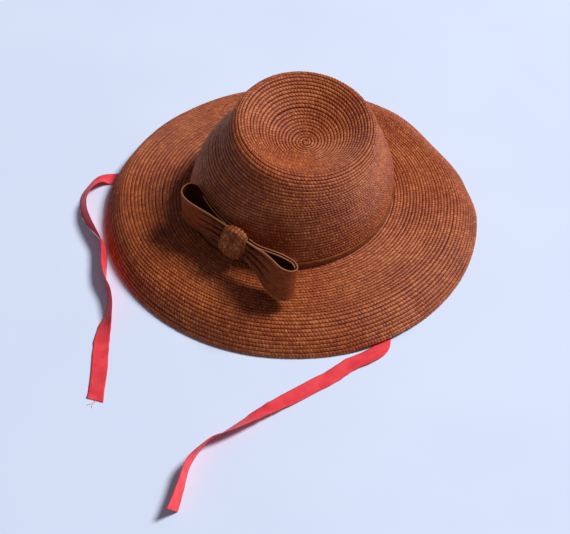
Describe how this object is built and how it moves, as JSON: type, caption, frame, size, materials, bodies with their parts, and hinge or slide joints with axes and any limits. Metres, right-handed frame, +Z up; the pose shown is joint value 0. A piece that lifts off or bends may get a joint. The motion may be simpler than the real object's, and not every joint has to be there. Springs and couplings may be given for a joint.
{
  "type": "straw hat",
  "caption": "Wide-brimmed sewn straw hat with a dished round crown, a straw bow and loose satin ribbon ties, resting on its brim.",
  "frame": {"origin": "middle of the brim's circle, on the level that its edge rests on", "axes": "+Z up through the crown, -Y towards the bow at the front, +X towards the wearer's left side"},
  "size_m": [0.3436, 0.4832, 0.1246],
  "materials": {
    "straw_braid": "glossy brown straw braid sewn in close rows",
    "straw_strip": "woven brown straw strip with light edges",
    "straw_band": "smooth flat straw band with a soft sheen",
    "satin_ribbon": "coral red satin"
  },
  "bodies": {
    "root": {"crown": "straw_braid", "brim": "straw_braid", "crown_band": "straw_band", "bow_loop_left": "straw_strip", "bow_loop_right": "straw_strip", "bow_knot": "straw_strip", "ribbon_left": "satin_ribbon", "ribbon_right": "satin_ribbon"}
  },
  "joints": []
}
